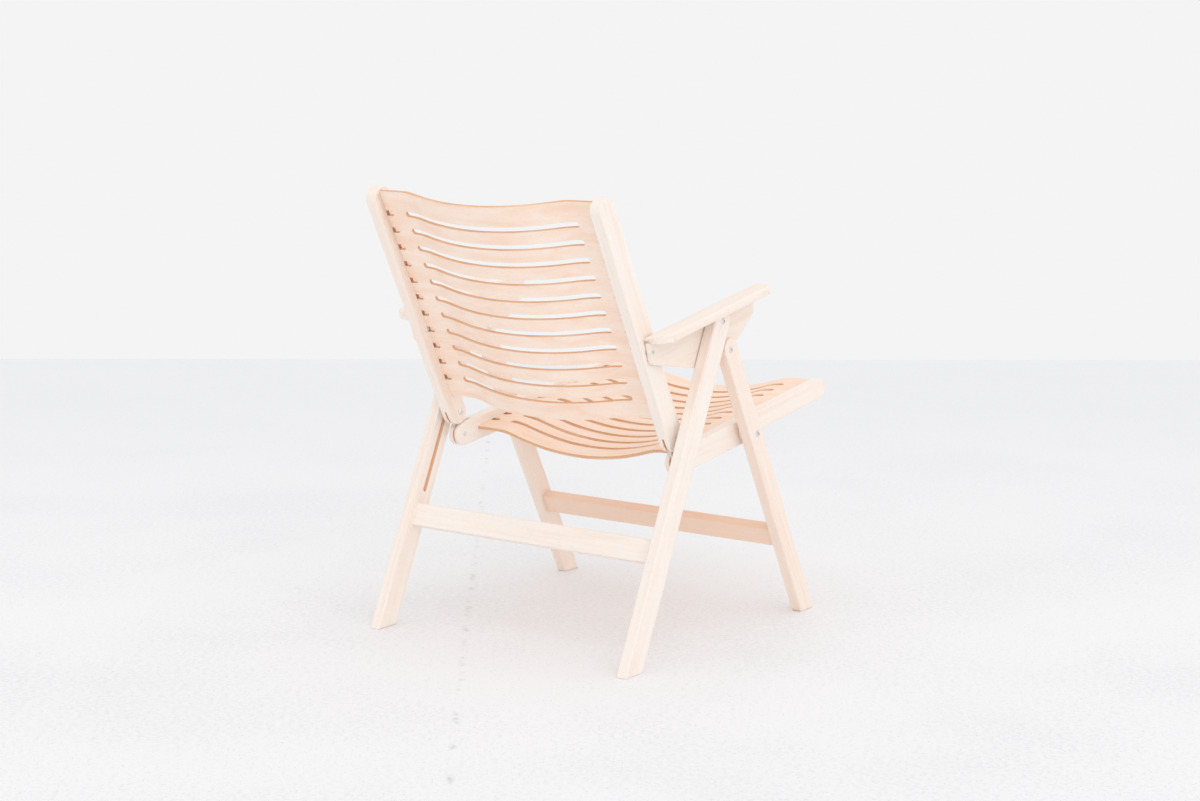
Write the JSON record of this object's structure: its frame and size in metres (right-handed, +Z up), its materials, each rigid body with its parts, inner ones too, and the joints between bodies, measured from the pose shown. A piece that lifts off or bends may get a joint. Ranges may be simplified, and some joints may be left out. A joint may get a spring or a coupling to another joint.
{
  "type": "folding lounge chair",
  "caption": "Low folding armchair with crossed wooden legs, flat arms and slotted moulded plywood seat and back that fold on a linkage.",
  "frame": {"origin": "on the floor under the middle of the opened chair's outline", "axes": "+Z up, -Y the way the sitter faces, +X to the sitter's left"},
  "size_m": [0.562, 0.6988, 0.7474],
  "materials": {
    "frame_wood": "pale beech, clear matt lacquer",
    "stretcher_wood": "pale beech, clear matt lacquer",
    "bracket_wood": "pale beech, clear matt lacquer",
    "dowel_wood": "plain beech, a shade darker",
    "moulded_ply": "moulded beech plywood, clear matt lacquer",
    "steel": "bright zinc plated"
  },
  "bodies": {
    "base": {"rear_leg_left": "frame_wood", "rear_leg_right": "frame_wood", "rear_stretcher": "stretcher_wood", "arm_pivot_bolts": "steel", "arm_pivot_nuts": "steel", "arm_pivot_washers": "steel"},
    "arm_left": {"arm_board_left": "frame_wood", "arm_bracket_left": "bracket_wood", "arm_dowels_left": "dowel_wood"},
    "arm_right": {"arm_board_right": "frame_wood", "arm_bracket_right": "bracket_wood", "arm_dowels_right": "dowel_wood"},
    "front_legs": {"front_leg_left": "frame_wood", "front_leg_right": "frame_wood", "front_stretcher": "stretcher_wood", "front_leg_bolts": "steel", "front_leg_nuts": "steel", "front_leg_washers": "steel", "seat_pivot_bolts": "steel", "seat_pivot_spacers": "dowel_wood"},
    "back": {"back_stile_left": "frame_wood", "back_stile_right": "frame_wood", "back_shell": "moulded_ply", "back_pivot_bolts": "steel", "back_pivot_nuts": "steel", "back_pivot_washers": "steel", "guide_bolts": "steel"},
    "seat": {"seat_rail_left": "frame_wood", "seat_rail_right": "frame_wood", "seat_shell": "moulded_ply", "link_plate_left": "steel", "link_plate_right": "steel", "link_pins": "steel"}
  },
  "joints": [
    {"name": "arm_left_fold", "type": "hinge", "parent": "base", "child": "arm_left", "pos_m": [0, 0.03503, 0.534], "axis": [-1, 0, 0], "range_deg": [0, 50.6]},
    {"name": "arm_right_fold", "type": "hinge", "parent": "base", "child": "arm_right", "pos_m": [0, 0.03503, 0.534], "axis": [-1, 0, 0], "range_deg": [0, 50.6]},
    {"name": "front_leg_fold", "type": "hinge", "parent": "arm_left", "child": "front_legs", "pos_m": [0, 0.01223, 0.4852], "axis": [-1, 0, 0], "range_deg": [-101.2, 0]},
    {"name": "seat_fold", "type": "hinge", "parent": "front_legs", "child": "seat", "pos_m": [0, -0.07297, 0.33521], "axis": [-1, 0, 0], "range_deg": [0, 101.2]},
    {"name": "back_fold", "type": "hinge", "parent": "arm_left", "child": "back", "pos_m": [0, 0.20436, 0.50109], "axis": [-1, 0, 0], "range_deg": [-101.2, 0]}
  ],
  "couplings": [
    {"joint": "arm_right_fold", "follows": "arm_left_fold", "ratio": 1},
    {"joint": "front_leg_fold", "follows": "arm_left_fold", "ratio": -2},
    {"joint": "seat_fold", "follows": "arm_left_fold", "ratio": 2},
    {"joint": "back_fold", "follows": "arm_left_fold", "ratio": -2}
  ]
}
